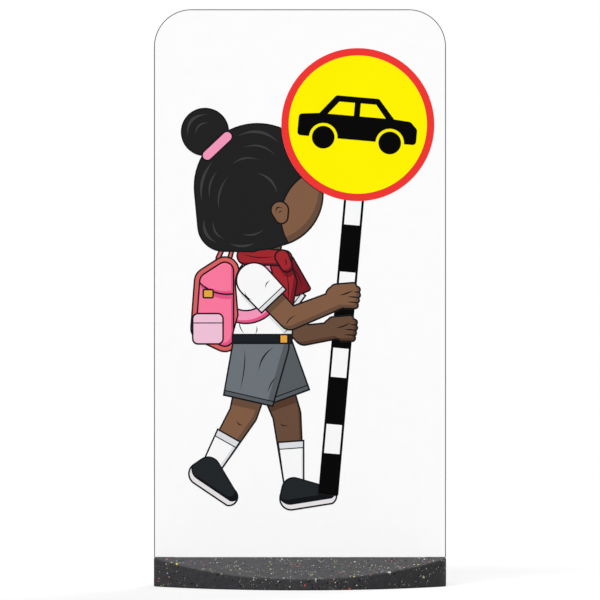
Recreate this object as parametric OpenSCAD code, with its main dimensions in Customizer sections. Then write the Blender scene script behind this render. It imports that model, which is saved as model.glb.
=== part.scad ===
// Pavement sign: a printed sheet panel stands in the slot of a heavy moulded base.
// The front of the sign faces -Y, X runs across it and the base rests on Z = 0.

/* [Panel] */
// Width of the panel and of the base under it
panel_w = 500; // [480:5:560]
// Height of the panel above the base
panel_h = 938; // [900:2:1100]
// Thickness of the sheet
panel_t = 4; // [3:0.5:6]
// Radius of the two top corners
corner_r = 64; // [20:2:100]
// Width of each shoulder beside the tongue that drops into the slot
shoulder_w = 35; // [30:1:44]
// Length of the tongue below the panel's shoulders
tongue_h = 37; // [34:0.5:37.5]

/* [Base] */
// Depth of the base at its middle
base_d = 400; // [340:10:460]
// Width of the blunt end faces
end_d = 24; // [20:1:40]
// Height of the ridge that carries the panel
base_h = 50; // [50:1:60]
// Height of the front and back edges at the middle
edge_h = 19; // [14:1:30]
// Half width of the ellipse that the long sides follow
plan_rx = 400; // [330:10:700]
// Width of the flat land along the ridge
land_w = 12; // [9:0.5:16]
// Gap between the panel and each wall of the slot
slot_gap = 0.25; // [0.1:0.05:0.4]
// Thickness of the floor under the slot
slot_floor = 12; // [8:0.5:12.5]

/* [Underside] */
// Depth of the moulded pockets in the underside
pocket_h = 3; // [2:0.5:5]
// Width of the rim that rests on the ground
rim_w = 18; // [12:1:30]
// Width of the rib under the slot
keel_w = 44; // [30:1:60]
// Width of the cross ribs
rib_w = 14; // [8:1:24]
// Spacing of the cross ribs
rib_pitch = 92; // [80:2:100]

/* [Locking screws] */
// Distance of each screw from the middle of the sign
screw_x = 150; // [100:5:170]
// Height at which a screw crosses the tongue
screw_z = 24; // [22:0.5:27]
// Lean of the screws from the vertical
screw_lean = 55; // [50:1:60]
// Diameter of the shank
shank_d = 6; // [5:0.5:7]
// Distance from the tongue's middle to the washer
grip_l = 28; // [26:0.5:30]
// Distance from the tongue's middle to the tip
bite_l = 18; // [12:0.5:20]
// Diameter of the screw head
head_d = 12; // [10:0.5:13]
// Height of the screw head
head_h = 4; // [3:0.25:5]
// Diameter of the washer
washer_d = 14; // [13:0.5:15]
// Thickness of the washer
washer_t = 1.2; // [0.8:0.1:2]
// Diameter of the counterbore in the back slope
bore_d = 17; // [16:0.5:20]

/* [Print] */
// Thickness of one film of the print
film_t = 0.2; // [0.1:0.05:0.4]
// Width of the dark outlines
line_w = 2.8; // [2:0.2:4]
// Width of the fine creases inside the outlines
crease_w = 1.8; // [1.2:0.1:2.4]
// Outer diameter of the warning disc
disc_d = 262; // [220:2:280]
// Width of the disc's red ring
ring_w = 12.6; // [8:0.2:24]
// Distance of the disc's centre to the right of the middle
disc_x = 99; // [80:1:105]
// Height of the disc's centre above the base
disc_z = 740.5; // [700:0.5:760]
// Lean of the pole and the disc
lean = 5; // [2:0.5:8]
// Width of the banded pole
pole_w = 34.5; // [26:0.5:40]
// Distance of the pole's middle line to the right of the disc's centre
pole_x = 4.7; // [0:0.1:8]
// Height of the pole's foot above the base
pole_z = 107; // [90:1:120]
// Width of the dark line down each side of the pole
pole_line_w = 4; // [2:0.1:6]
// Length of the dark band at the pole's foot
foot_l = 70.5; // [40:0.5:80]
// Length of each dark band above it
dark_l = 81; // [60:1:100]
// Length of one white band of the pole
white_l = 50; // [40:1:70]
// Width of the car symbol
car_w = 204; // [150:2:206]
// Height of the child from the soles to the top of the bun
child_h = 700; // [640:10:720]
// Distance of the child's hip line to the left of the pole's foot
child_x = 113; // [108:1:118]
// Height of the child's soles above the base
child_z = 74; // [60:2:90]

/* [Hidden] */
bore_fn = 24;
fine_fn = 72;
round_fn = 36;
join_fn = 8;
eps = 1;

// The long sides are arcs of one ellipse, which reaches half the depth at the
// middle and half the end width at the ends.
sag = (base_d - end_d) / 2;
plan_ry = sag / (1 - sqrt(1 - pow(panel_w / 2 / plan_rx, 2)));
tongue_w = panel_w - 2 * shoulder_w;
slot_t = panel_t + 2 * slot_gap;
slot_w = tongue_w + 2 * slot_gap;
shank_gap = 0.05;
hole_gap = 0.35;
print_gap = 0.05;
// The tongue's holes are straight through the sheet, wide enough for the lean of
// the shanks.
tongue_hole_r = shank_d / 2 / sin(screw_lean) + panel_t / 2 / tan(screw_lean) + hole_gap;
disc_at = [disc_x, base_h + disc_z];
pole_l = (disc_z - pole_z - pole_x * sin(lean)) / cos(lean);
foot_x = disc_x + pole_x * cos(lean) - pole_l * sin(lean);
child_at = [foot_x - child_x, base_h + child_z];

// The child is drawn on a grid that is 700 high and walks to the right. Its
// points are [forwards of the hips, above the soles].
grid_h = 700;
child_scale = child_h / grid_h;
waist_z = 292;
belt_h = 15;
hip = [0, 286];
shoulder = [-14, 400];
head = [14, 548];
head_r = 90;
crown = [-8, 560];
hair_r = 108;
nape = [-66, 494];
bun = [-98, 654];
bun_r = 40;
ear = [30, 520];
near_elbow = [48, 334];
near_fist = on_grip(372);
near_cuff = [20, 364];
far_elbow = [72, 306];
far_fist = on_grip(316);
far_cuff = [58, 352];
far_hem = [46, 200];
far_knee = [42, 170];
far_sock = [49, 124];
far_ankle = [54, 54];
far_foot = 9;
near_hem = [-24, 194];
near_knee = [-32, 172];
near_sock = [-57, 134];
near_ankle = [-84, 86];
near_foot = -34;
ankle_h = 46;
sole_h = 10;
finger_r = 5.6;
cuff_h = 12;
turn_up = 8;
shoe_shade_h = 9;

// The way to the light, which leaves shades on the lower right of each shape.
light = [-0.6, 0.8];

// The point of the pole's middle line at a height above the soles.
function on_grip(z) =
    [(child_x + (z * child_scale + child_z - pole_z) * tan(lean)) / child_scale, z];

// The shapes of the print from the back to the front.
order = [
    "handle", "satchel", "satchel face", "satchel flap", "pocket", "buckle",
    "far leg", "far sock", "far shoe", "far sole", "pole",
    "far arm", "far sleeve", "far shorts",
    "near leg", "near sock", "near shoe", "near sole", "near shorts",
    "neck", "torso", "belt", "clasp", "strap", "scarf end", "scarf tail", "scarf", "knot",
    "head", "bun", "hair", "hair tie", "ear", "near arm", "near sleeve"
];
pole_place = search(["pole"], order)[0];

// The space within one long side of the plan, drawn in by inset.
module within_side(inset, low, high) {
    rx = plan_rx - inset;
    ry = plan_ry - inset;
    translate([0, base_d / 2 - plan_ry, low])
        scale([1, ry / rx, 1])
            cylinder(r = rx, h = high - low, $fn = 180);
}

// Cuts its children to the lens between the two long sides.
module lens_cut(inset, low, high) {
    intersection() {
        children();
        within_side(inset, low, high);
        mirror([0, 1, 0]) within_side(inset, low, high);
    }
}

// The gable section: a flat land at the ridge and a plain slope to each side.
module gable() {
    rotate([90, 0, 90])
        translate([0, 0, -panel_w / 2])
            linear_extrude(panel_w)
                polygon([
                    [-base_d / 2, 0], [base_d / 2, 0], [base_d / 2, edge_h],
                    [land_w / 2, base_h], [-land_w / 2, base_h], [-base_d / 2, edge_h]
                ]);
}

// Shallow pockets between the rim, the keel under the slot and the cross ribs.
module pockets() {
    bay_w = rib_pitch - rib_w;
    for (side = [0, 1])
        mirror([0, side, 0])
            for (i = [-2 : 2])
                lens_cut(rim_w, -eps, pocket_h)
                    translate([i * rib_pitch - bay_w / 2, keel_w / 2, -2 * eps])
                        cube([bay_w, base_d / 2, pocket_h + 3 * eps]);
}

// Places a part drawn along +Z on the axis of each locking screw.
module at_screws() {
    for (side = [-1, 1])
        translate([side * screw_x, 0, screw_z])
            rotate([-screw_lean, 0, 0])
                children();
}

module base() {
    color("dimgray")
        difference() {
            lens_cut(0, -eps, base_h + eps) gable();
            translate([-slot_w / 2, -slot_t / 2, slot_floor])
                cube([slot_w, slot_t, base_h]);
            pockets();
            at_screws() {
                translate([0, 0, -bite_l])
                    cylinder(d = shank_d + 2 * shank_gap, h = bite_l + grip_l + eps, $fn = bore_fn);
                translate([0, 0, grip_l])
                    cylinder(d = bore_d, h = base_h, $fn = bore_fn);
            }
        }
}

// The sheet's outline, with its shoulders at Z = base_h.
module panel_outline() {
    translate([-panel_w / 2, base_h]) square([panel_w, panel_h - corner_r]);
    translate([corner_r - panel_w / 2, base_h])
        square([panel_w - 2 * corner_r, panel_h]);
    for (side = [-1, 1])
        translate([side * (panel_w / 2 - corner_r), base_h + panel_h - corner_r])
            circle(corner_r, $fn = fine_fn);
    translate([-tongue_w / 2, base_h - tongue_h]) square([tongue_w, tongue_h + eps]);
}

module panel() {
    color("white")
        difference() {
            rotate([90, 0, 0])
                translate([0, 0, -panel_t / 2])
                    linear_extrude(panel_t) panel_outline();
            for (side = [-1, 1])
                translate([side * screw_x, 0, screw_z])
                    rotate([90, 0, 0])
                        cylinder(r = tongue_hole_r, h = 2 * panel_t, center = true, $fn = bore_fn);
        }
}

// A plain shank under a domed head with a cross recess.
module locking_screws() {
    recess_l = head_d * 0.55;
    recess_t = head_d * 0.12;
    color("silver")
        at_screws()
            difference() {
                union() {
                    translate([0, 0, -bite_l])
                        cylinder(d = shank_d, h = bite_l + grip_l + washer_t + eps, $fn = bore_fn);
                    translate([0, 0, grip_l + washer_t])
                        rotate_extrude($fn = bore_fn)
                            intersection() {
                                translate([0, head_h - head_d]) circle(head_d, $fn = fine_fn);
                                square([head_d / 2, head_h]);
                            }
                }
                for (turn = [0, 90])
                    translate([0, 0, grip_l + washer_t + head_h])
                        rotate([0, 0, turn])
                            cube([recess_l, recess_t, head_h], center = true);
            }
}

module locking_washers() {
    color("silver")
        at_screws()
            translate([0, 0, grip_l])
                difference() {
                    cylinder(d = washer_d, h = washer_t, $fn = bore_fn);
                    translate([0, 0, -eps])
                        cylinder(d = shank_d + 4 * shank_gap, h = washer_t + 2 * eps, $fn = bore_fn);
                }
}

// One film of the print, drawn in the plane of the panel's front, on a level
// counted up from the panel.
module film(level) {
    translate([0, -panel_t / 2 - level * film_t, 0])
        rotate([90, 0, 0])
            linear_extrude(film_t) children();
}

// A film of shapes merged into one outline.
module merged_film(level) {
    film(level) offset(delta = 0) children();
}

// Places a shape drawn about the disc's centre, with the lean of the disc.
module on_disc() {
    translate(disc_at) rotate(-lean) children();
}

// Places a shape drawn along the pole's middle line, upwards to the disc's centre.
module on_pole() {
    on_disc() translate([pole_x, 0]) children();
}

// Places a shape drawn on the child's grid on the panel.
module on_child() {
    translate(child_at) scale(child_scale) children();
}

module disc_ring_film() {
    color("red") film(0) translate(disc_at) circle(d = disc_d, $fn = fine_fn);
}

module disc_face_film() {
    color("yellow") film(1) translate(disc_at) circle(d = disc_d - 2 * ring_w, $fn = fine_fn);
}

// A car from the side, drawn on a grid of hundredths of its length: body and
// cabin in one outline with two windows, and wheels in open arches.
module car() {
    u = car_w / 100;
    wheel_r = 9.5 * u;
    arch_r = 12 * u;
    wheel_x = 28 * u;
    sill_z = -11 * u;
    difference() {
        offset(r = 3 * u, $fn = round_fn) offset(delta = -3 * u)
            polygon([
                [-50 * u, sill_z], [50 * u, sill_z], [50 * u, 2 * u], [44 * u, 8 * u],
                [30 * u, 9 * u], [16 * u, 25 * u], [-20 * u, 25 * u],
                [-33 * u, 9 * u], [-50 * u, 7 * u]
            ]);
        polygon([[-4 * u, 9 * u], [-4 * u, 20 * u], [-17 * u, 20 * u], [-26 * u, 9 * u]]);
        polygon([[1 * u, 9 * u], [1 * u, 20 * u], [14 * u, 20 * u], [23 * u, 9 * u]]);
        for (side = [-1, 1])
            translate([side * wheel_x, sill_z]) circle(arch_r, $fn = round_fn);
    }
    for (side = [-1, 1])
        translate([side * wheel_x, sill_z]) circle(wheel_r, $fn = round_fn);
}

module car_symbol_film() {
    color("black") merged_film(2) on_disc() translate([0, -0.02 * car_w]) car();
}

// The dark strip of the pole, ended by the disc and by the hands on it.
module pole_film() {
    color("black")
        merged_film(0)
            difference() {
                pole_strip();
                disc_cover();
                offset(delta = print_gap) outlines(pole_place + 1, len(order) - 1);
            }
}

// The white bands lie on the dark strip and leave its edges bare.
module pole_band_film() {
    pitch = dark_l + white_l;
    color("white")
        merged_film(1)
            difference() {
                on_pole()
                    for (z = [foot_l : pitch : pole_l])
                        translate([pole_line_w - pole_w / 2, z - pole_l])
                            square([pole_w - 2 * pole_line_w, white_l]);
                disc_cover();
                offset(delta = print_gap) outlines(pole_place + 1, len(order) - 1);
            }
}

module pole_strip() {
    on_pole() translate([-pole_w / 2, -pole_l]) square([pole_w, pole_l]);
}

// The disc and a hair's breadth round it.
module disc_cover() {
    translate(disc_at) circle(d = disc_d + 2 * print_gap, $fn = 4 * fine_fn);
}

// Points along an arc about c, in steps of about the fineness set by steps a turn.
function arc(c, r, from, to, steps) =
    let (n = max(1, round((to - from) * steps / 360)))
        [for (i = [0 : n]) c + r * [cos(from + (to - from) * i / n), sin(from + (to - from) * i / n)]];

// The direction from a to b, as an angle and as a step of length 1.
function bearing(a, b) = atan2(b[1] - a[1], b[0] - a[0]);
function along(a, b) = (b - a) / norm(b - a);

// A tapered bar with round ends, closed by the two straight tangents.
module limb(a, b, ra, rb, steps = round_fn) {
    turn = bearing(a, b);
    spread = acos((ra - rb) / norm(b - a));
    polygon(concat(
        arc(a, ra, turn + spread, turn + 360 - spread, steps),
        arc(b, rb, turn - spread, turn + spread, steps)
    ));
}

// A tapered bar that starts round at a and ends square at b, 2 rb wide.
module cuffed(a, b, ra, rb) {
    across = rb * [-sin(bearing(a, b)), cos(bearing(a, b))];
    left = b + across;
    right = b - across;
    from = bearing(a, left) + acos(ra / norm(left - a));
    to = bearing(a, right) - acos(ra / norm(right - a));
    polygon(concat(arc(a, ra, from, to + (to < from ? 360 : 0), round_fn), [right, left]));
}

// A line from a to b, bowed to its left by bend, w wide at its middle and
// pointed at both ends.
module stroke(a, b, bend, w = crease_w, steps = 8) {
    side = [-sin(bearing(a, b)), cos(bearing(a, b))];
    bow = [for (i = [0 : steps]) let (t = i / steps) a + t * (b - a) + 4 * bend * t * (1 - t) * side];
    half = [for (i = [0 : steps]) w / 2 * sin(180 * i / steps) * side];
    polygon(concat(
        [for (i = [0 : steps]) bow[i] - half[i]],
        [for (i = [steps - 1 : -1 : 1]) bow[i] + half[i]]
    ));
}

// A seam across a bar that runs from a to b, at depth before its end.
module seam(a, b, half, depth) {
    translate(b) rotate(bearing(a, b))
        translate([-depth - crease_w / 2, -half]) square([crease_w, 2 * half]);
}

// A closed hand round the pole: a palm, four fingers one above the other and the
// thumb along the top.
module fist(at) {
    grip = pole_w / child_scale;
    translate(at) rotate(-lean) {
        limb([-grip / 2, 0], [0, 0], 17, 18);
        for (i = [0 : 3])
            limb([0, finger_r * (2.4 - 1.6 * i)],
                 [grip / 2 + 2 - abs(i - 1), finger_r * (2.4 - 1.6 * i)], 7, finger_r);
        limb([-grip / 2, 10], [grip / 2 - 6, 19], 10, 6);
    }
}

// The lines between the fingers and under the thumb of a closed hand.
module finger_lines(at) {
    grip = pole_w / child_scale;
    translate(at) rotate(-lean) {
        for (i = [0 : 2])
            stroke([i == 0 ? 12 : 3, finger_r * (1.6 - 1.6 * i)],
                   [grip / 2 + 10, finger_r * (1.6 - 1.6 * i)], 0.5, 1.3 * crease_w);
        stroke([-12, 1], [13, 13], -1.5, 1.3 * crease_w);
    }
}

// A low shoe from the side, about its ankle, with the toe towards +X and the
// sole level at ankle_h below.
module shoe(ankle, turn) {
    translate(ankle) rotate(turn)
        intersection() {
            union() {
                limb([-9, -27], [54, -32], 19, 15);
                limb([-2, -12], [48, -30], 20, 15);
                limb([-2, -12], [-9, -27], 20, 19);
            }
            translate([-40, -ankle_h]) square([120, 60]);
        }
}

// The band along the bottom of a shoe, thinned out round its toe and heel.
module sole(ankle, turn) {
    difference() {
        shoe(ankle, turn);
        translate(sole_h * [-sin(turn), cos(turn)]) shoe(ankle, turn);
    }
}

module satchel() {
    offset(r = 24, $fn = round_fn)
        polygon([[-64, 416], [-92, 398], [-98, 318], [-64, 302]]);
}

module torso() {
    intersection() {
        union() {
            limb([4, 394], [6, 336], 50, 47, fine_fn);
            limb([6, 336], [0, 300], 47, 51, fine_fn);
        }
        translate([-60, waist_z]) square([120, 200]);
    }
}

// Hair in a bob, drawn up to the bun and tucked behind the ear.
module hair() {
    difference() {
        union() {
            limb(crown, nape, hair_r, 44, fine_fn);
            limb(nape, [-18, 474], 44, 25, fine_fn);
        }
        translate([116, 508]) circle(84, $fn = fine_fn);
    }
}

// One shape of the child by its name.
module shape(name) {
    if (name == "handle")
        difference() {
            limb([-66, 436], [-60, 452], 13, 11);
            limb([-66, 436], [-60, 452], 6, 5);
        }
    if (name == "satchel") satchel();
    if (name == "satchel face") offset(delta = -9) satchel();
    if (name == "satchel flap")
        intersection() {
            offset(delta = -9) satchel();
            translate([-60, 442]) circle(66, $fn = fine_fn);
        }
    if (name == "pocket") translate([-110, 300]) offset(r = 9, $fn = round_fn) square([34, 34]);
    if (name == "buckle") translate([-99, 372]) offset(r = 2, $fn = round_fn) square([13, 10]);
    if (name == "far arm") {
        limb(shoulder, far_elbow, 19, 17);
        limb(far_elbow, far_fist, 17, 14);
        fist(far_fist);
    }
    if (name == "far sleeve") cuffed([4, 392], far_cuff, 30, 27);
    if (name == "far leg") {
        limb(hip, far_knee, 32, 24);
        limb(far_knee, far_ankle, 24, 17);
    }
    if (name == "far sock") cuffed(far_ankle, far_sock, 17, 22);
    if (name == "far shoe") shoe(far_ankle, far_foot);
    if (name == "far sole") sole(far_ankle, far_foot);
    if (name == "far shorts") cuffed([12, 292], far_hem, 38, 37);
    if (name == "near leg") {
        limb(hip, near_knee, 32, 24);
        limb(near_knee, near_ankle, 24, 17);
    }
    if (name == "near sock") cuffed(near_ankle, near_sock, 17, 22);
    if (name == "near shoe") shoe(near_ankle, near_foot);
    if (name == "near sole") sole(near_ankle, near_foot);
    if (name == "near shorts") cuffed([-2, 290], near_hem, 48, 43);
    if (name == "neck") limb([6, 440], [10, 470], 24, 24);
    if (name == "torso") torso();
    if (name == "belt")
        intersection() {
            torso();
            translate([-60, waist_z]) square([120, belt_h]);
        }
    if (name == "clasp") translate([32, waist_z + 2]) offset(r = 2, $fn = round_fn) square([10, belt_h - 4]);
    if (name == "strap")
        intersection() {
            torso();
            translate([-28, 386])
                difference() {
                    circle(60, $fn = fine_fn);
                    circle(38, $fn = fine_fn);
                }
        }
    if (name == "scarf end")
        offset(r = 4, $fn = round_fn) offset(delta = -4)
            polygon([[24, 446], [52, 440], [84, 384], [56, 372]]);
    if (name == "scarf tail")
        offset(r = 4, $fn = round_fn) offset(delta = -4)
            polygon([[8, 446], [46, 440], [60, 398], [48, 330], [24, 366], [18, 410]]);
    if (name == "scarf") limb([-28, 442], [38, 438], 15, 13);
    if (name == "knot") limb([34, 440], [42, 424], 12, 10);
    if (name == "head") translate(head) circle(head_r, $fn = fine_fn);
    if (name == "bun") translate(bun) circle(bun_r, $fn = fine_fn);
    if (name == "hair") hair();
    if (name == "hair tie") limb([-94, 614], [-60, 646], 9, 9);
    if (name == "ear") limb(ear, ear + [3, -12], 15, 11);
    if (name == "near arm") {
        limb(shoulder, near_elbow, 21, 19);
        limb(near_elbow, near_fist, 19, 16);
        fist(near_fist);
    }
    if (name == "near sleeve") cuffed(shoulder, near_cuff, 30, 29);
}

// The creases and seams inside one shape of the child.
module creases(name) {
    if (name == "pocket") translate([-122, 326]) square([60, crease_w]);
    if (name == "far arm") finger_lines(far_fist);
    if (name == "far sleeve") seam([4, 392], far_cuff, 40, turn_up);
    if (name == "far leg") stroke([30, 156], [44, 152], -3);
    if (name == "far sock") seam(far_ankle, far_sock, 40, cuff_h);
    if (name == "far shorts") seam([12, 292], far_hem, 60, turn_up);
    if (name == "near leg") stroke([-44, 160], [-32, 152], -3);
    if (name == "near sock") seam(near_ankle, near_sock, 40, cuff_h);
    if (name == "near shorts") {
        seam([-2, 290], near_hem, 60, turn_up);
        stroke([20, 286], [-6, 244], -6, 1.4 * crease_w);
        stroke([-30, 284], [-38, 212], 3);
        stroke([26, 236], [10, 208], -3);
    }
    if (name == "torso") {
        stroke([-30, 308], [-38, 334], 4);
        stroke([-12, 308], [-10, 322], -2);
        stroke([34, 308], [48, 330], -4);
    }
    if (name == "scarf tail") stroke([40, 420], [42, 352], 4);
    if (name == "scarf end") stroke([50, 424], [68, 388], 3);
    if (name == "scarf") stroke([-36, 446], [24, 442], -5);
    if (name == "knot") stroke([38, 438], [40, 424], 2);
    if (name == "ear") {
        stroke(ear + [-6, -8], ear + [8, 2], 9, 1.4 * crease_w);
        stroke(ear + [-2, -6], ear + [5, -2], 2);
    }
    if (name == "near arm") {
        finger_lines(near_fist);
        stroke([40, 322], [58, 340], 3);
    }
    if (name == "near sleeve") {
        seam(shoulder, near_cuff, 40, turn_up);
        stroke([-30, 382], [-16, 366], -4);
        stroke([14, 400], [6, 386], -3);
    }
}

// One shape of the print in its place on the panel.
module placed(name) {
    if (name == "pole") pole_strip();
    else on_child() shape(name);
}

// Its children grown all round, with their acute corners cut round.
module grown(by) {
    intersection() {
        offset(delta = by) children();
        offset(r = 1.4 * by, $fn = join_fn) children();
    }
}

// Its children shrunk all round, with their acute notches kept round.
module shrunk(by) {
    offset(delta = -by) children();
    offset(r = -1.4 * by, $fn = join_fn) children();
}

// What a run of shapes covers, out to the edge of its outline.
module outlines(first, last) {
    difference() {
        grown(line_w / 2)
            for (i = [first : 1 : last]) placed(order[i]);
        disc_cover();
    }
}

// What shows of one shape behind those in front of it.
module shown(name) {
    place = search([name], order)[0];
    difference() {
        placed(name);
        for (i = [place + 1 : 1 : len(order) - 1]) placed(order[i]);
        disc_cover();
    }
}

// What shows of one shape, less half a line all round.
module patch(name) {
    shrunk(line_w / 2) shown(name);
}

// The patches of some shapes, with their creases left bare.
module fields(names) {
    for (name = names)
        difference() {
            patch(name);
            on_child() creases(name);
        }
}

// The shade of some shapes: the strips on the side away from the light, where a
// copy moved towards the light by depth leaves them bare.
module shades(names, depth) {
    for (name = names)
        trimmed()
            difference() {
                fields([name]);
                translate(depth * light) placed(name);
            }
}

// The shadow that one shape throws on another.
module shadow(name, from, drop) {
    trimmed()
        intersection() {
            fields([name]);
            translate(drop) on_child() shape(from);
        }
}

// Its children without their slivers.
module trimmed(least = 1) {
    intersection() {
        children();
        offset(r = least, $fn = join_fn) offset(r = -least / 2, $fn = join_fn) children();
    }
}

// The dark ground that shows as outlines and creases.
module outline_film() {
    color("black")
        merged_film(0) {
            outlines(pole_place + 1, len(order) - 1);
            difference() {
                outlines(0, pole_place - 1);
                offset(delta = print_gap) pole_strip();
            }
        }
}

module skin_film() {
    color("sienna") merged_film(1) fields(["near leg", "neck", "head", "ear", "near arm"]);
}

module skin_shade_film() {
    color("saddlebrown") {
        merged_film(1) fields(["far leg", "far arm"]);
        merged_film(2) {
            shades(["near leg", "near arm"], 8);
            shades(["head"], 12);
            shadow("neck", "head", [0, -8]);
            shadow("near leg", "near shorts", [4, -14]);
            shadow("near arm", "near sleeve", [4, -10]);
        }
    }
}

module skin_dark_film() {
    color("maroon")
        merged_film(2) {
            shades(["far leg", "far arm"], 7);
            shadow("far leg", "far shorts", [4, -12]);
        }
}

module hair_film() {
    color("black") merged_film(1) fields(["bun", "hair"]);
}

// Strands that catch the light, along the sweep of the hair.
module hair_shine_film() {
    color("gray")
        merged_film(2)
            intersection() {
                fields(["bun", "hair"]);
                on_child() {
                    stroke([-103, 534], [-84, 604], 9, 5);
                    stroke([-90, 540], [-76, 588], 6, 3);
                    stroke([-44, 646], [30, 634], 14, 5);
                    stroke([-36, 626], [24, 612], 11, 3);
                    stroke([-52, 598], [-6, 606], 7, 3);
                    stroke([-10, 584], [26, 548], 8, 4);
                    stroke([-58, 578], [-74, 520], -7, 3);
                    stroke([-99, 506], [-78, 464], -9, 5);
                    stroke([-84, 502], [-64, 470], -7, 3);
                    stroke([-56, 463], [-12, 464], -5, 4);
                    stroke([-36, 480], [4, 488], -6, 3);
                    stroke(bun + [-30, -8], bun + [6, 30], 14, 5);
                    stroke(bun + [-17, -6], bun + [8, 16], 8, 3);
                }
            }
}

module hair_tie_film() {
    color("pink") merged_film(1) fields(["hair tie"]);
}

module shirt_film() {
    color("white") merged_film(1) fields(["torso", "near sleeve"]);
}

module shirt_shade_film() {
    color("lightgray") {
        merged_film(1) fields(["far sleeve"]);
        merged_film(2) {
            shades(["torso"], 12);
            shades(["near sleeve"], 7);
            shadow("torso", "near sleeve", [5, -12]);
            shadow("torso", "near arm", [0, -8]);
        }
    }
}

module scarf_film() {
    color("brown") merged_film(1) fields(["scarf tail", "scarf", "knot"]);
}

module scarf_shade_film() {
    color("maroon") {
        merged_film(1) fields(["scarf end"]);
        merged_film(2) {
            shades(["scarf tail"], 9);
            shades(["scarf", "knot"], 5);
            shadow("scarf tail", "knot", [2, -8]);
        }
    }
}

module belt_film() {
    color("black") merged_film(1) fields(["belt"]);
}

module buckle_film() {
    color("gold") merged_film(1) fields(["buckle", "clasp"]);
}

module shorts_film() {
    color("slategray") merged_film(1) fields(["near shorts"]);
}

module shorts_shade_film() {
    color("dimgray") {
        merged_film(1) fields(["far shorts"]);
        merged_film(2) shades(["near shorts"], 13);
    }
}

module sock_film() {
    color("white") merged_film(1) fields(["far sock", "near sock"]);
}

// The turned-down tops of the socks, and the shade down their sides.
module sock_cuff_film() {
    color("lightgray")
        merged_film(2) {
            shades(["far sock", "near sock"], 6);
            trimmed()
                for (sock = [["far sock", far_ankle, far_sock], ["near sock", near_ankle, near_sock]])
                    difference() {
                        fields([sock[0]]);
                        translate(-cuff_h * child_scale * along(sock[1], sock[2])) patch(sock[0]);
                    }
        }
}

module shoe_film() {
    color("darkslategray") merged_film(1) fields(["far shoe", "near shoe"]);
}

// The darker band of each shoe above its sole.
module shoe_shade_film() {
    color("black")
        merged_film(2)
            for (side = ["far", "near"])
                trimmed()
                    difference() {
                        fields([str(side, " shoe")]);
                        translate(shoe_shade_h * child_scale * light)
                            difference() {
                                placed(str(side, " shoe"));
                                offset(delta = print_gap) placed(str(side, " sole"));
                            }
                    }
}

module sole_film() {
    color("lightgray") merged_film(1) fields(["far sole", "near sole"]);
}

module satchel_edge_film() {
    color("tomato") merged_film(1) fields(["handle", "satchel"]);
}

module satchel_film() {
    color("hotpink") merged_film(1) fields(["satchel face", "satchel flap"]);
}

module satchel_shade_film() {
    color("palevioletred")
        merged_film(2) {
            shades(["satchel face", "satchel flap", "strap"], 7);
            shadow("satchel face", "satchel flap", [2, -8]);
        }
}

module satchel_pocket_film() {
    color("pink") merged_film(1) fields(["pocket"]);
}

module satchel_strap_film() {
    color("pink") merged_film(1) fields(["strap"]);
}

base();
panel();
locking_screws();
locking_washers();
disc_ring_film();
disc_face_film();
car_symbol_film();
pole_film();
pole_band_film();
outline_film();
skin_film();
skin_shade_film();
skin_dark_film();
hair_film();
hair_shine_film();
hair_tie_film();
shirt_film();
shirt_shade_film();
scarf_film();
scarf_shade_film();
belt_film();
buckle_film();
shorts_film();
shorts_shade_film();
sock_film();
sock_cuff_film();
shoe_film();
shoe_shade_film();
sole_film();
satchel_edge_film();
satchel_film();
satchel_shade_film();
satchel_pocket_film();
satchel_strap_film();
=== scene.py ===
"""Pavement sign: a printed sheet in a heavy base of recycled plastic, dressed for the camera."""
import math

import bpy
import numpy as np
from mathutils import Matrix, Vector


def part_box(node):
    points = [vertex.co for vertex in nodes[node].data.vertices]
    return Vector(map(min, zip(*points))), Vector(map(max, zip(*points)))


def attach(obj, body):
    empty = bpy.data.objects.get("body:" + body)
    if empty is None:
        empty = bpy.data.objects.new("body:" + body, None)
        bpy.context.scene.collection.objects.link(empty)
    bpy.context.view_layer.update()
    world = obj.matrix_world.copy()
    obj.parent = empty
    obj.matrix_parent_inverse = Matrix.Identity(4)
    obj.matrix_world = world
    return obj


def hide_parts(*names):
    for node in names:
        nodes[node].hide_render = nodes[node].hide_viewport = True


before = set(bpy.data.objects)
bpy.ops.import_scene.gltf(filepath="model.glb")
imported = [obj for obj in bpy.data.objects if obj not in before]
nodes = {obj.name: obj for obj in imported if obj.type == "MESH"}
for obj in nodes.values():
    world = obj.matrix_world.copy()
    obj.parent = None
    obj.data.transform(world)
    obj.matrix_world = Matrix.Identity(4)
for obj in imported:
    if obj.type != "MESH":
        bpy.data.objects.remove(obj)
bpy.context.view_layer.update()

# The camera stands far off, near half the sign's height, and looks level along +Y.
CAMERA_DISTANCE = 13.8
CAMERA_HEIGHT = 0.4902
CAMERA_LENS = 483.5

# Each lamp's name, with the direction it shines from, its strength, and the angle in
# degrees that it fills, which softens its shadow.
LAMPS = {
    "front_lamp": ((-0.35, -1.0, 0.75), 2.5, 30),
    "top_lamp": ((0.1, -0.15, 1.0), 2.4, 40),
    "rear_lamp": ((0.4, 1.0, 0.7), 2.5, 30),
}

# Strength of the surround as light on the sign, and as the white that the camera sees.
SURROUND_FILL = 0.34
SURROUND_SEEN = 1.0

# Half the floor's width, the grey that it throws back at the sign, the grey that the
# camera sees, and the glow that lifts what the camera sees to white outside a shadow.
FLOOR_HALF = 8.0
FLOOR_GREY = 0.12
FLOOR_SEEN_GREY = 0.30
FLOOR_GLOW = 0.46

# The base's plan: width of the blunt ends, and half the width of the ellipse that its
# long sides follow. A corner this near to a long side, or to an end, lies on it.
BASE_END = 0.024
PLAN_RX = 0.400
NEAR_SIDE = 0.0004
NEAR_END = 0.0001

# Radii of the rounded edges: round the base's outside, at its slot and bores, and
# round the sheet.
OUTER_EASE = 0.0024
INNER_EASE = 0.0005
SHEET_EASE = 0.0006

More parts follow.
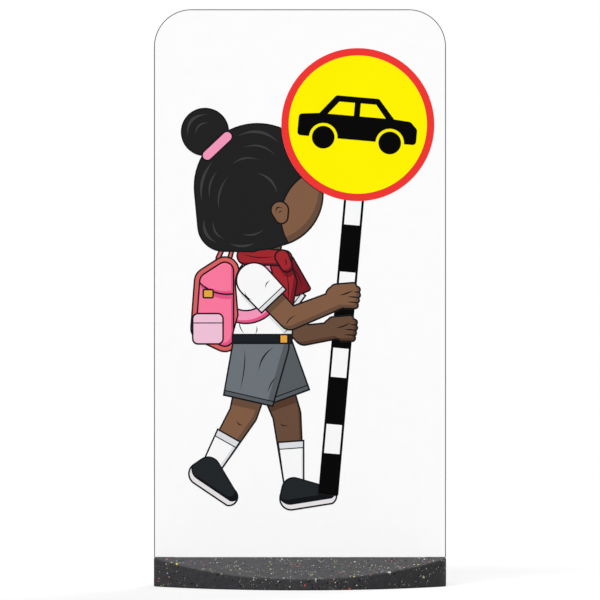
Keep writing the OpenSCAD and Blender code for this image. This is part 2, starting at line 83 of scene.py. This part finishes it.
# An edge is eased where its two faces turn by more than SHARP, and faces that turn by
# less than FLAT are made one.
SHARP = math.radians(32)
FLAT = math.radians(0.3)

# Radius of the sheet's two top corners, how far in from its outline it is grey (the core's colour
# on the cut edge, a painted shade line on the face), and the width over which that grey fades.
CORNER = 0.064
CORE_AND_SHADE_LINE = 0.0017
EDGE_FADE = 0.0002

# Keeps the length of a face's normal above zero.
TINY = 1e-20


def linear(value):
    """One channel of a written colour, 0 to 255, as light."""
    v = value / 255
    return v / 12.92 if v <= 0.04045 else ((v + 0.055) / 1.055) ** 2.4


def colour(r, g, b):
    return (linear(r), linear(g), linear(b), 1.0)


def grey(light):
    return (light, light, light, 1.0)


def paler(tint, share):
    """A colour moved towards white by a share, or towards black by a share under 0."""
    goal = 1.0 if share > 0 else 0.0
    return tuple(c + (goal - c) * abs(share) for c in tint[:3]) + (1.0,)


class Sock:
    """An output socket that takes the signs of arithmetic."""

    def __init__(self, web, link):
        self.web = web
        self.link = link

    def other(self, key):
        """Another output of the same node, by its name or its number."""
        return Sock(self.web, self.link.node.outputs[key])

    def math(self, operation, *rest):
        return self.web.node("ShaderNodeMath", {"operation": operation}, dict(enumerate((self, *rest))))

    def turned(self, operation, first):
        """The operation with the other value first."""
        return self.web.node("ShaderNodeMath", {"operation": operation}, {0: first, 1: self})

    def __add__(self, value):
        return self.math("ADD", value)

    def __radd__(self, value):
        return self.turned("ADD", value)

    def __sub__(self, value):
        return self.math("SUBTRACT", value)

    def __rsub__(self, value):
        return self.turned("SUBTRACT", value)

    def __mul__(self, value):
        return self.math("MULTIPLY", value)

    def __rmul__(self, value):
        return self.turned("MULTIPLY", value)

    def __truediv__(self, value):
        return self.math("DIVIDE", value)

    def __rtruediv__(self, value):
        return self.turned("DIVIDE", value)

    def __pow__(self, value):
        return self.math("POWER", value)

    def __rpow__(self, value):
        return self.turned("POWER", value)

    def __lt__(self, value):
        return self.math("LESS_THAN", value)

    def within(self):
        """The value, held between 0 and 1."""
        return self.math("MAXIMUM", 0.0).math("MINIMUM", 1.0)

    def between(self, low, high):
        """A value from 0 to 1, spread so that it runs from low to high."""
        return low + self * (high - low)


class Web:
    """The node tree of one material or world, ending in its own output."""

    def __init__(self, owner, output):
        owner.use_nodes = True
        self.tree = owner.node_tree
        self.tree.nodes.clear()
        self.end = self.tree.nodes.new(output)

    def node(self, kind, settings=None, sockets=None):
        """Add a node: its settings first, then the values or links of its input sockets."""
        made = self.tree.nodes.new(kind)
        for key, value in (settings or {}).items():
            if key == "stops":
                self.stops(made.color_ramp, value)
            elif key == "interpolation":
                made.color_ramp.interpolation = value
            else:
                setattr(made, key, value)
        self.fill(made, sockets or {})
        return Sock(self, made.outputs[0])

    @staticmethod
    def stops(ramp, places):
        while len(ramp.elements) < len(places):
            ramp.elements.new(1.0)
        for element, (position, tint) in zip(ramp.elements, places):
            element.position = position
            element.color = tint

    def fill(self, node, sockets):
        for key, value in sockets.items():
            if isinstance(value, Sock):
                self.tree.links.new(value.link, node.inputs[key])
            else:
                node.inputs[key].default_value = value

    def close(self, shader):
        self.fill(self.end, {"Surface": shader})

    def place(self):
        return self.node("ShaderNodeTexCoord").other("Object")

    def parts(self, vector):
        split = self.node("ShaderNodeSeparateXYZ", None, {0: vector})
        return [split.other(axis) for axis in "XYZ"]

    def vector(self, operation, a, b):
        """Vector Math of two vectors, or of a vector and a number for SCALE."""
        key = "Scale" if operation == "SCALE" else 1
        return self.node("ShaderNodeVectorMath", {"operation": operation}, {0: a, key: b})

    def blend(self, share, a, b):
        """Colour a, turning to colour b as share goes from 0 to 1."""
        return self.node("ShaderNodeMix", {"data_type": "RGBA"}, {0: share, 6: a, 7: b}).other(2)

    def noise(self, vector, cell, detail=2.0, rough=0.5):
        """Noise whose lumps are about cell metres across."""
        sockets = {"Vector": vector, "Scale": 1 / cell, "Detail": detail, "Roughness": rough}
        return self.node("ShaderNodeTexNoise", None, sockets)

    def ramp(self, value, stops, interpolation="LINEAR"):
        settings = {"stops": stops, "interpolation": interpolation}
        return self.node("ShaderNodeValToRGB", settings, {0: value})

    def bump(self, height, distance, strength):
        sockets = {"Height": height, "Distance": distance, "Strength": strength}
        return self.node("ShaderNodeBump", None, sockets)

    def paint(self, **sockets):
        """Close the tree with a Principled shader whose sockets are given by name."""
        named = {key.replace("_", " "): value for key, value in sockets.items()}
        self.close(self.node("ShaderNodeBsdfPrincipled", None, named))


def material(name):
    made = bpy.data.materials.new(name)
    return made, Web(made, "ShaderNodeOutputMaterial")


# The ground of the recycled plastic, from its darkest lumps to its palest.
GROUND_TONES = [(0.34, colour(42, 42, 44)), (0.52, colour(52, 52, 54)), (0.68, colour(64, 64, 65))]

PIT_TINTS = [colour(6, 6, 7), colour(10, 10, 10)]
GRIT_TINTS = [
    colour(188, 190, 188), colour(126, 128, 130), colour(206, 200, 178),
    colour(104, 104, 102), colour(216, 218, 214), colour(168, 160, 140),
]
CHIP_TINTS = [
    colour(206, 84, 62), colour(232, 228, 190), colour(176, 150, 112), colour(228, 104, 66),
    colour(122, 190, 214), colour(200, 200, 192), colour(252, 112, 160), colour(132, 134, 136),
    colour(222, 214, 182), colour(176, 52, 48), colour(196, 206, 182), colour(160, 150, 128),
    colour(228, 116, 86), colour(150, 178, 190), colour(250, 222, 44), colour(206, 190, 150),
]

# What is pressed into the ground, from the lowest layer up: dark pits, pale grit, and
# small and large chips. A round speck has its reach measured straight, an angular one
# along the axes.
SPECK_LAYERS = (
    dict(tints=PIT_TINTS, cell=0.0050, share=0.62, smallest=0.20, largest=0.54, metric="EUCLIDEAN"),
    dict(tints=GRIT_TINTS, cell=0.0030, share=0.40, smallest=0.12, largest=0.44, metric="EUCLIDEAN"),
    dict(tints=CHIP_TINTS, cell=0.0047, share=0.36, smallest=0.12, largest=0.44, metric="MANHATTAN"),
    dict(tints=CHIP_TINTS, cell=0.0084, share=0.32, smallest=0.12, largest=0.44, metric="MANHATTAN"),
)

# Where in the endless pattern of specks the base lies, and how much each axis is
# squeezed to draw the specks out along Y.
PATTERN_SHIFT = (0.37, 0.0, 0.0)
PRESSED = (1.0, 0.38, 1.0)

# Specks gather in drifts: how steeply a drift rises out of its noise, what is cut off
# that noise, and how crowded the plastic is outside a drift, where a drift adds 1.
DRIFT_GAIN = 4.6
DRIFT_CUT = 1.9
STRAY_SHARE = 0.18

# A speck's rim, in widths of a cell: the lumps that make it ragged, how far they push
# it, and the width over which it fades.
RAGGED_LUMP = 0.28
RAGGED_PUSH = 0.9
RIM_FADE = 0.04

# The faintest speck's share of its full colour, the number that turns one random
# number into another, and how far a speck sinks into the ground's bumps.
FAINTEST = 0.45
RESHUFFLE = 13.0
SPECK_SINK = 0.12


def specks(web, place, crowding, tints, cell, share, smallest, largest, metric):
    """Specks of mixed plastic, spread on a Voronoi pattern of cells.

    A cell holds a speck where its own random number is under crowding times share.
    The speck fills the points that lie nearer to the cell's seed than a radius, in
    cells, drawn between smallest and largest by the square of a second random number,
    so that small ones are common. Noise pushes the points about, so its rim is ragged.
    Returns how much of each point is speck, and the speck's colour, one of tints.
    """
    push = web.noise(place, cell * RAGGED_LUMP, rough=0.7).other("Color")
    push = web.vector("SCALE", web.vector("SUBTRACT", push, (0.5, 0.5, 0.5)), cell * RAGGED_PUSH)
    cells = web.node(
        "ShaderNodeTexVoronoi", {"distance": metric},
        {"Vector": web.vector("ADD", place, push), "Scale": 1 / cell, "Randomness": 1.0},
    )
    reach = cells.other("Distance")
    chance, size, tint = web.parts(cells.other("Color"))
    radius = (size ** 2.0).between(smallest, largest)
    cover = ((radius - reach) / RIM_FADE).within() * (chance < crowding * share)
    strength = (tint * RESHUFFLE).math("FRACT").between(FAINTEST, 1.0)
    steps = [(i / len(tints), tone) for i, tone in enumerate(tints)]
    return cover * strength, web.ramp(tint, steps, "CONSTANT")


def recycled_plastic():
    """Dark ground plastic, mottled, with specks of every colour pressed into it."""
    made, web = material("recycled_plastic")
    place = web.vector("ADD", web.place(), PATTERN_SHIFT)
    pressed = web.vector("MULTIPLY", place, PRESSED)
    cloud = web.noise(place, cell=0.016, detail=4.0, rough=0.6)
    crumb = web.noise(place, cell=0.0022, detail=3.0, rough=0.65)
    drift = (web.noise(place, cell=0.050) * DRIFT_GAIN - DRIFT_CUT).within()
    crowding = STRAY_SHARE + drift
    tone = web.ramp(cloud * 0.45 + crumb * 0.55, GROUND_TONES)
    height = crumb * 0.6 + cloud * 0.4
    for layer in SPECK_LAYERS:
        cover, tint = specks(web, pressed, crowding, **layer)
        tone = web.blend(cover, tone, tint)
        height = height - cover * SPECK_SINK
    web.paint(
        Base_Color=tone, Roughness=crumb.between(0.58, 0.78), Specular_IOR_Level=0.1,
        Normal=web.bump(height, distance=0.0006, strength=0.6),
    )
    return made


def white_sheet():
    """Smooth white sheet with the faint ripple of rolled plastic; grey core on its cut edge, painted
    edge shade on its face.

    The distance in from the edge is the corner's radius less how far a point lies
    out from the rectangle that holds the corners' centres.
    """
    made, web = material("white_sheet")
    place = web.place()
    x, y, z = web.parts(place)
    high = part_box("panel")[1]
    out_x = (x.math("ABSOLUTE") - (high.x - CORNER)).within()
    out_z = (z - (high.z - CORNER)).within()
    inward = CORNER - (out_x * out_x + out_z * out_z) ** 0.5
    # The grey band along the outline: the core's colour on the cut edge, and a painted shade line along
    # the edge on the sheet's face.
    edge = ((CORE_AND_SHADE_LINE - inward) / EDGE_FADE).within()
    ripple = web.noise(place, cell=0.030)
    skin = web.noise(place, cell=0.0012)
    tone = web.blend(ripple, colour(246, 246, 247), colour(249, 249, 249))
    web.paint(
        Base_Color=web.blend(edge, tone, colour(76, 77, 79)),
        Roughness=skin.between(0.34, 0.42) + edge * 0.2, Specular_IOR_Level=0.2,
        Normal=web.bump(ripple * 0.7 + skin * 0.05, distance=0.00025, strength=0.4),
    )
    return made


def printed_film(name, tint):
    """Ink under a satin laminate: its tone drifts a little and its skin is faintly pebbled."""
    made, web = material(name)
    place = web.place()
    drift = web.noise(place, cell=0.060)
    pebble = web.noise(place, cell=0.0009, rough=0.6)
    tone = web.blend(drift * 0.6 + pebble * 0.4, paler(tint, -0.06), paler(tint, 0.001))
    web.paint(
        Base_Color=tone, Roughness=pebble.between(0.32, 0.44), Specular_IOR_Level=0.015,
        Normal=web.bump(pebble, distance=0.00006, strength=0.4),
    )
    return made


def zinc_plate():
    """A bright metal with a fine spangle."""
    made, web = material("zinc_plate")
    spangle = web.noise(web.place(), cell=0.0011, detail=3.0, rough=0.6)
    web.paint(
        Base_Color=web.blend(spangle, colour(168, 170, 172), colour(206, 207, 206)),
        Metallic=1.0, Roughness=spangle.between(0.24, 0.44),
        Normal=web.bump(spangle, distance=0.00004, strength=0.5),
    )
    return made


# The colour of the ink on each film of the print.
PRINT_TINTS = {
    "disc_ring_film": colour(238, 55, 53),
    "disc_face_film": colour(254, 242, 0),
    "car_symbol_film": colour(4, 4, 4),
    "pole_film": colour(4, 4, 4),
    "pole_band_film": colour(248, 248, 248),
    "outline_film": colour(24, 24, 27),
    "skin_film": colour(128, 92, 69),
    "skin_shade_film": colour(103, 76, 59),
    "skin_dark_film": colour(84, 58, 44),
    "hair_film": colour(33, 33, 33),
    "hair_shine_film": colour(62, 62, 62),
    "hair_tie_film": colour(242, 150, 186),
    "shirt_film": colour(248, 248, 248),
    "shirt_shade_film": colour(222, 225, 226),
    "scarf_film": colour(160, 39, 46),
    "scarf_shade_film": colour(120, 26, 36),
    "belt_film": colour(28, 31, 36),
    "buckle_film": colour(232, 165, 60),
    "shorts_film": colour(107, 114, 120),
    "shorts_shade_film": colour(86, 91, 95),
    "sock_film": colour(248, 248, 248),
    "sock_cuff_film": colour(220, 222, 226),
    "shoe_film": colour(34, 38, 41),
    "shoe_shade_film": colour(16, 19, 22),
    "sole_film": colour(230, 226, 228),
    "satchel_edge_film": colour(214, 96, 96),
    "satchel_film": colour(248, 120, 156),
    "satchel_shade_film": colour(226, 84, 132),
    "satchel_pocket_film": colour(238, 192, 214),
    "satchel_strap_film": colour(242, 150, 186),
}


def merged(node):
    """The corners and triangles of a solid, with the corners that coincide made one."""
    source = nodes[node].data
    points = np.empty(3 * len(source.vertices), np.float32)
    corners = np.empty(len(source.loops), np.int32)
    source.vertices.foreach_get("co", points)
    source.loops.foreach_get("vertex_index", corners)
    points, first = np.unique(points.reshape(-1, 3), axis=0, return_inverse=True)
    triangles = first.reshape(-1)[corners].reshape(-1, 3)
    whole = (triangles != np.roll(triangles, 1, axis=1)).all(axis=1)
    return points, triangles[whole]


def edge_keys(ends, count):
    """One number for each edge of a mesh of count corners, the same whichever end comes first."""
    low_high = np.sort(ends, axis=1).astype(np.int64)
    return low_high[:, 0] * count + low_high[:, 1]


def edge_turns(points, triangles):
    """The key of each edge of a closed mesh, sorted, and the angle between its two faces.

    Each edge is met once in each of its two triangles, so in the order of the keys
    the faces stand in pairs, and a pair's angle is the arc cosine of the dot product
    of its normals.
    """
    a, b, c = (points[triangles[:, i]] for i in range(3))
    facing = np.cross(b - a, c - a)
    facing /= np.linalg.norm(facing, axis=1, keepdims=True) + TINY
    ends = np.stack([triangles, np.roll(triangles, -1, axis=1)], axis=2).reshape(-1, 2)
    keys = edge_keys(ends, len(points))
    order = np.argsort(keys, kind="stable")
    sides = facing[np.repeat(np.arange(len(triangles)), 3)[order]].reshape(-1, 2, 3)
    turns = np.arccos(np.clip((sides[:, 0] * sides[:, 1]).sum(axis=1), -1, 1))
    return keys[order][::2], turns


def on_base_outline(points):
    """Which points lie on the base's outer wall.

    Each long side is an arc of an ellipse that reaches half the depth at the middle
    and half the end's width at the ends.
    """
    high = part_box("base")[1]
    x, y = abs(points[:, 0]), abs(points[:, 1])
    plan_ry = (high.y - BASE_END / 2) / (1 - math.sqrt(1 - (high.x / PLAN_RX) ** 2))
    side = high.y - plan_ry * (1 - np.sqrt(1 - (x / PLAN_RX) ** 2))
    return (abs(y - side) < NEAR_SIDE) | (x > high.x - NEAR_END)


def eased(node, radius, small=None, outer=None):
    """A solid's own surface with its sharp edges rounded.

    An edge gets radius where both its ends pass the test outer, or where there is
    no test, and the small radius elsewhere.
    """
    points, triangles = merged(node)
    keys, turns = edge_turns(points, triangles)
    mesh = bpy.data.meshes.new(node + "_eased")
    mesh.from_pydata(points, [], triangles)
    mesh.shade_smooth()
    ends = np.empty(2 * len(mesh.edges), np.int32)
    mesh.edges.foreach_get("vertices", ends)
    ends = ends.reshape(-1, 2)
    turn = turns[np.searchsorted(keys, edge_keys(ends, len(points)))]
    share = np.ones(len(ends))
    if outer:
        share = np.where(outer(points)[ends].all(axis=1), 1.0, small / radius)
    weight = np.where(turn > SHARP, share, 0.0)
    mesh.attributes.new("bevel_weight_edge", "FLOAT", "EDGE").data.foreach_set("value", weight)
    piece = bpy.data.objects.new(node + "_eased", mesh)
    bpy.context.scene.collection.objects.link(piece)
    flat = piece.modifiers.new("flat_faces", "DECIMATE")
    flat.decimate_type = "DISSOLVE"
    flat.angle_limit = FLAT
    ease = piece.modifiers.new("eased_edges", "BEVEL")
    ease.limit_method = "WEIGHT"
    ease.width = radius
    ease.segments = 3
    ease.use_clamp_overlap = False
    even = piece.modifiers.new("even_shading", "WEIGHTED_NORMAL")
    even.weight = 100
    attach(piece, "root")
    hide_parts(node)
    return piece


def dress(piece, finish):
    piece.data.materials.clear()
    piece.data.materials.append(finish)


def make_sign():
    dress(eased("base", OUTER_EASE, INNER_EASE, on_base_outline), recycled_plastic())
    dress(eased("panel", SHEET_EASE), white_sheet())
    for name, tint in PRINT_TINTS.items():
        dress(nodes[name], printed_film(name.replace("_film", "_ink"), tint))
    metal = zinc_plate()
    for name in ("locking_screws", "locking_washers"):
        dress(nodes[name], metal)


def seen_ray(web):
    """1 for the rays by which the camera sees a thing, straight, mirrored or through glass."""
    path = web.node("ShaderNodeLightPath")
    straight = path.other("Is Camera Ray")
    mirrored = path.other("Is Glossy Ray")
    through = path.other("Is Transmission Ray")
    return (straight + mirrored + through).within()


def make_floor():
    """A square floor that looks white and keeps the shadow."""
    made, web = material("studio_floor")
    seen = seen_ray(web)
    web.paint(
        Base_Color=web.blend(seen, grey(FLOOR_GREY), grey(FLOOR_SEEN_GREY)),
        Roughness=0.95, Specular_IOR_Level=0.0,
        Emission_Color=web.blend(seen, grey(0.0), grey(1.0)), Emission_Strength=FLOOR_GLOW,
    )
    corners = [(x * FLOOR_HALF, y * FLOOR_HALF, 0) for x, y in ((-1, -1), (1, -1), (1, 1), (-1, 1))]
    mesh = bpy.data.meshes.new("studio_floor")
    mesh.from_pydata(corners, [], [range(len(corners))])
    mesh.materials.append(made)
    floor = bpy.data.objects.new("studio_floor", mesh)
    bpy.context.scene.collection.objects.link(floor)


def make_surround():
    """A plain surround that is white to look at and lights the sign softly."""
    world = bpy.data.worlds.new("studio")
    bpy.context.scene.world = world
    web = Web(world, "ShaderNodeOutputWorld")
    fill, white = (
        web.node("ShaderNodeBackground", None, {"Color": grey(1.0), "Strength": strength})
        for strength in (SURROUND_FILL, SURROUND_SEEN)
    )
    web.close(web.node("ShaderNodeMixShader", None, {0: seen_ray(web), 1: fill, 2: white}))


def make_lights():
    """Soft lamps as far off as the sun."""
    for name, (towards, strength, spread) in LAMPS.items():
        data = bpy.data.lights.new(name, "SUN")
        data.energy = strength
        data.angle = math.radians(spread)
        made = bpy.data.objects.new(name, data)
        made.rotation_euler = Vector(towards).to_track_quat("Z", "Y").to_euler()
        bpy.context.scene.collection.objects.link(made)


def make_camera():
    data = bpy.data.cameras.new("camera")
    data.lens = CAMERA_LENS
    data.sensor_width = 36
    data.clip_end = 60
    made = bpy.data.objects.new("camera", data)
    made.location = (0, -CAMERA_DISTANCE, CAMERA_HEIGHT)
    made.rotation_euler = (math.radians(90), 0, 0)
    bpy.context.scene.collection.objects.link(made)
    bpy.context.scene.camera = made


def main():
    bpy.context.scene.view_settings.view_transform = "Standard"
    make_camera()
    make_floor()
    make_surround()
    make_lights()
    make_sign()


main()
